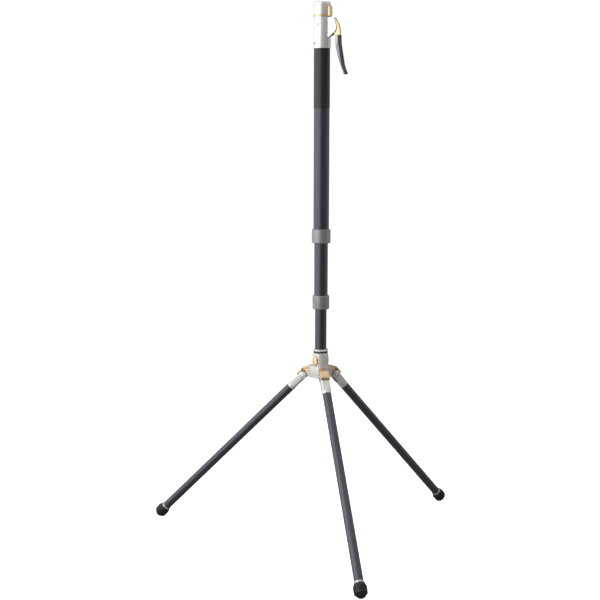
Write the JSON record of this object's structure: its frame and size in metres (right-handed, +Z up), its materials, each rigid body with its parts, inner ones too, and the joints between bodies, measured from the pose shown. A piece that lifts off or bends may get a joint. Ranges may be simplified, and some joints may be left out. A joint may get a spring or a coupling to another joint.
{
  "type": "folding light stand",
  "caption": "Folding light stand: three-section carbon mast with a squeeze-trigger height lock, a twist-locking spigot head and three folding carbon legs on sprung stops.",
  "frame": {"origin": "on the floor, at the middle of the stand's footprint box, in metres, +Z up", "axes": "+Z up along the mast; -Y towards the front leg; +X to the right of someone facing +Y"},
  "size_m": [0.7522, 0.6554, 1.2444],
  "materials": {
    "satin_silver": "satin cast and turned aluminium, clear anodised",
    "champagne": "satin champagne-gold anodised aluminium",
    "graphite": "graphite-grey painted aluminium",
    "carbon": "clear-coated carbon fibre weave",
    "grip_rubber": "smooth dark foam rubber",
    "pad_rubber": "soft-touch rubber",
    "foot_rubber": "dense black rubber",
    "handle_grey": "light blue-grey glass-filled nylon",
    "dark_ring": "dark anodised",
    "steel": "turned steel",
    "bronze": "plain bearing bronze",
    "spring_steel": "spring wire",
    "bush_nylon": "self-lubricating bearing nylon"
  },
  "bodies": {
    "hub": {"leg_block": "satin_silver", "hub_body": "satin_silver", "hub_base_cap": "dark_ring", "hub_screws": "steel", "socket_bushes": "bush_nylon", "button_springs": "spring_steel"},
    "leg_front": {"leg_fork_front": "satin_silver", "leg_pin_front": "steel", "leg_tube_front": "carbon", "foot_ring_front": "satin_silver", "foot_front": "foot_rubber", "stop_spring_front": "spring_steel"},
    "stop_front": {"leg_stop_front": "champagne"},
    "leg_right": {"leg_fork_right": "satin_silver", "leg_pin_right": "steel", "leg_tube_right": "carbon", "foot_ring_right": "satin_silver", "foot_right": "foot_rubber", "stop_spring_right": "spring_steel"},
    "stop_right": {"leg_stop_right": "champagne"},
    "leg_left": {"leg_fork_left": "satin_silver", "leg_pin_left": "steel", "leg_tube_left": "carbon", "foot_ring_left": "satin_silver", "foot_left": "foot_rubber", "stop_spring_left": "spring_steel"},
    "stop_left": {"leg_stop_left": "champagne"},
    "button_left": {"release_button_left": "champagne", "release_yoke_left": "bronze"},
    "button_right": {"release_button_right": "champagne", "release_yoke_right": "bronze"},
    "mast_lower": {"mast_base": "dark_ring", "base_washer": "dark_ring", "lower_tube": "carbon", "lower_guide": "bush_nylon"},
    "lower_brake": {"lower_cam": "steel"},
    "mast_middle": {"middle_tube": "carbon", "middle_collar": "graphite", "middle_bush": "bush_nylon", "middle_guide": "bush_nylon"},
    "middle_brake": {"middle_cam": "steel", "drive_tube": "steel"},
    "mast_upper": {"upper_tube": "carbon", "upper_collar": "graphite", "upper_bush": "bush_nylon", "grip_sleeve": "grip_rubber", "head_plug": "steel", "head_body": "satin_silver", "head_screws": "steel", "head_cap": "satin_silver", "spigot_socket": "steel", "lever_pin": "steel", "plunger_spring": "spring_steel"},
    "control": {"control_rod": "steel"},
    "ring": {"twist_ring": "champagne"},
    "shoe": {"spigot_shoe": "bronze"},
    "trigger": {"lever_arm": "champagne", "lever_handle": "handle_grey", "lever_pad": "pad_rubber"},
    "push_rod": {"plunger": "steel"}
  },
  "joints": [
    {"name": "leg_front_fold", "type": "hinge", "parent": "hub", "child": "leg_front", "pos_m": [0, 0.06105, 0.38469], "axis": [1, 0, 0], "range_deg": [0, 45]},
    {"name": "stop_front_slide", "type": "slide", "parent": "leg_front", "child": "stop_front", "axis": [0, -0.7102, -0.704], "range_m": [0, 0.0045], "stiffness_N_per_m": 400, "springref_m": -0.003, "deforming": ["stop_spring_front"]},
    {"name": "leg_right_fold", "type": "hinge", "parent": "hub", "child": "leg_right", "pos_m": [0.03724, 0.12555, 0.38469], "axis": [-0.5, 0.866, 0], "range_deg": [0, 45]},
    {"name": "stop_right_slide", "type": "slide", "parent": "leg_right", "child": "stop_right", "axis": [0.615, 0.3551, -0.704], "range_m": [0, 0.0045], "stiffness_N_per_m": 400, "springref_m": -0.003, "deforming": ["stop_spring_right"]},
    {"name": "leg_left_fold", "type": "hinge", "parent": "hub", "child": "leg_left", "pos_m": [-0.03724, 0.12555, 0.38469], "axis": [-0.5, -0.866, 0], "range_deg": [0, 45]},
    {"name": "stop_left_slide", "type": "slide", "parent": "leg_left", "child": "stop_left", "axis": [-0.615, 0.3551, -0.704], "range_m": [0, 0.0045], "stiffness_N_per_m": 400, "springref_m": -0.003, "deforming": ["stop_spring_left"]},
    {"name": "button_left_press", "type": "slide", "parent": "hub", "child": "button_left", "axis": [0.866, 0.5, 0], "range_m": [0, 0.0022], "stiffness_N_per_m": 1200, "springref_m": -0.002, "deforming": ["button_springs"]},
    {"name": "button_right_press", "type": "slide", "parent": "hub", "child": "button_right", "axis": [-0.866, -0.5, 0], "range_m": [0, 0.0022], "stiffness_N_per_m": 1200, "springref_m": -0.002, "deforming": ["button_springs"]},
    {"name": "mast_swivel", "type": "hinge", "parent": "hub", "child": "mast_lower", "pos_m": [0, 0.10405, 0.40919], "axis": [0, 0, 1], "continuous": true},
    {"name": "middle_slide", "type": "slide", "parent": "mast_lower", "child": "mast_middle", "axis": [0, 0, 1], "range_m": [-0.092, 0.215]},
    {"name": "upper_slide", "type": "slide", "parent": "mast_middle", "child": "mast_upper", "axis": [0, 0, 1], "range_m": [-0.12, 0.205]},
    {"name": "lower_brake_turn", "type": "hinge", "parent": "mast_lower", "child": "lower_brake", "pos_m": [0, 0.10405, 0.81269], "axis": [0, 0, 1], "range_deg": [0, 40.74]},
    {"name": "middle_brake_turn", "type": "hinge", "parent": "mast_middle", "child": "middle_brake", "pos_m": [0, 0.10405, 0.95769], "axis": [0, 0, 1], "range_deg": [0, 40.74]},
    {"name": "control_rod_turn", "type": "hinge", "parent": "mast_upper", "child": "control", "pos_m": [0, 0.10405, 1.15669], "axis": [0, 0, 1], "range_deg": [0, 40.74]},
    {"name": "ring_twist", "type": "hinge", "parent": "mast_upper", "child": "ring", "pos_m": [0, 0.10405, 1.20989], "axis": [0, 0, 1], "range_deg": [0, 35]},
    {"name": "shoe_slide", "type": "slide", "parent": "mast_upper", "child": "shoe", "axis": [0.7547, -0.6561, 0], "range_m": [0, 0.0007]},
    {"name": "trigger_squeeze", "type": "hinge", "parent": "mast_upper", "child": "trigger", "pos_m": [0.02226, 0.0847, 1.20389], "axis": [0.6561, 0.7547, 0], "range_deg": [0, 14], "stiffness_Nm_per_rad": 1.5, "springref_deg": -8.59},
    {"name": "plunger_slide", "type": "slide", "parent": "mast_upper", "child": "push_rod", "axis": [-0.7547, 0.6561, 0], "range_m": [0, 0.00835], "deforming": ["plunger_spring"]}
  ],
  "couplings": [
    {"joint": "lower_brake_turn", "follows": "trigger_squeeze", "ratio": 2.9097},
    {"joint": "middle_brake_turn", "follows": "trigger_squeeze", "ratio": 2.9097},
    {"joint": "control_rod_turn", "follows": "trigger_squeeze", "ratio": 2.9097},
    {"joint": "plunger_slide", "follows": "trigger_squeeze", "m_per_rad": 0.034185},
    {"joint": "shoe_slide", "follows": "ring_twist", "m_per_rad": 0.0011459}
  ]
}
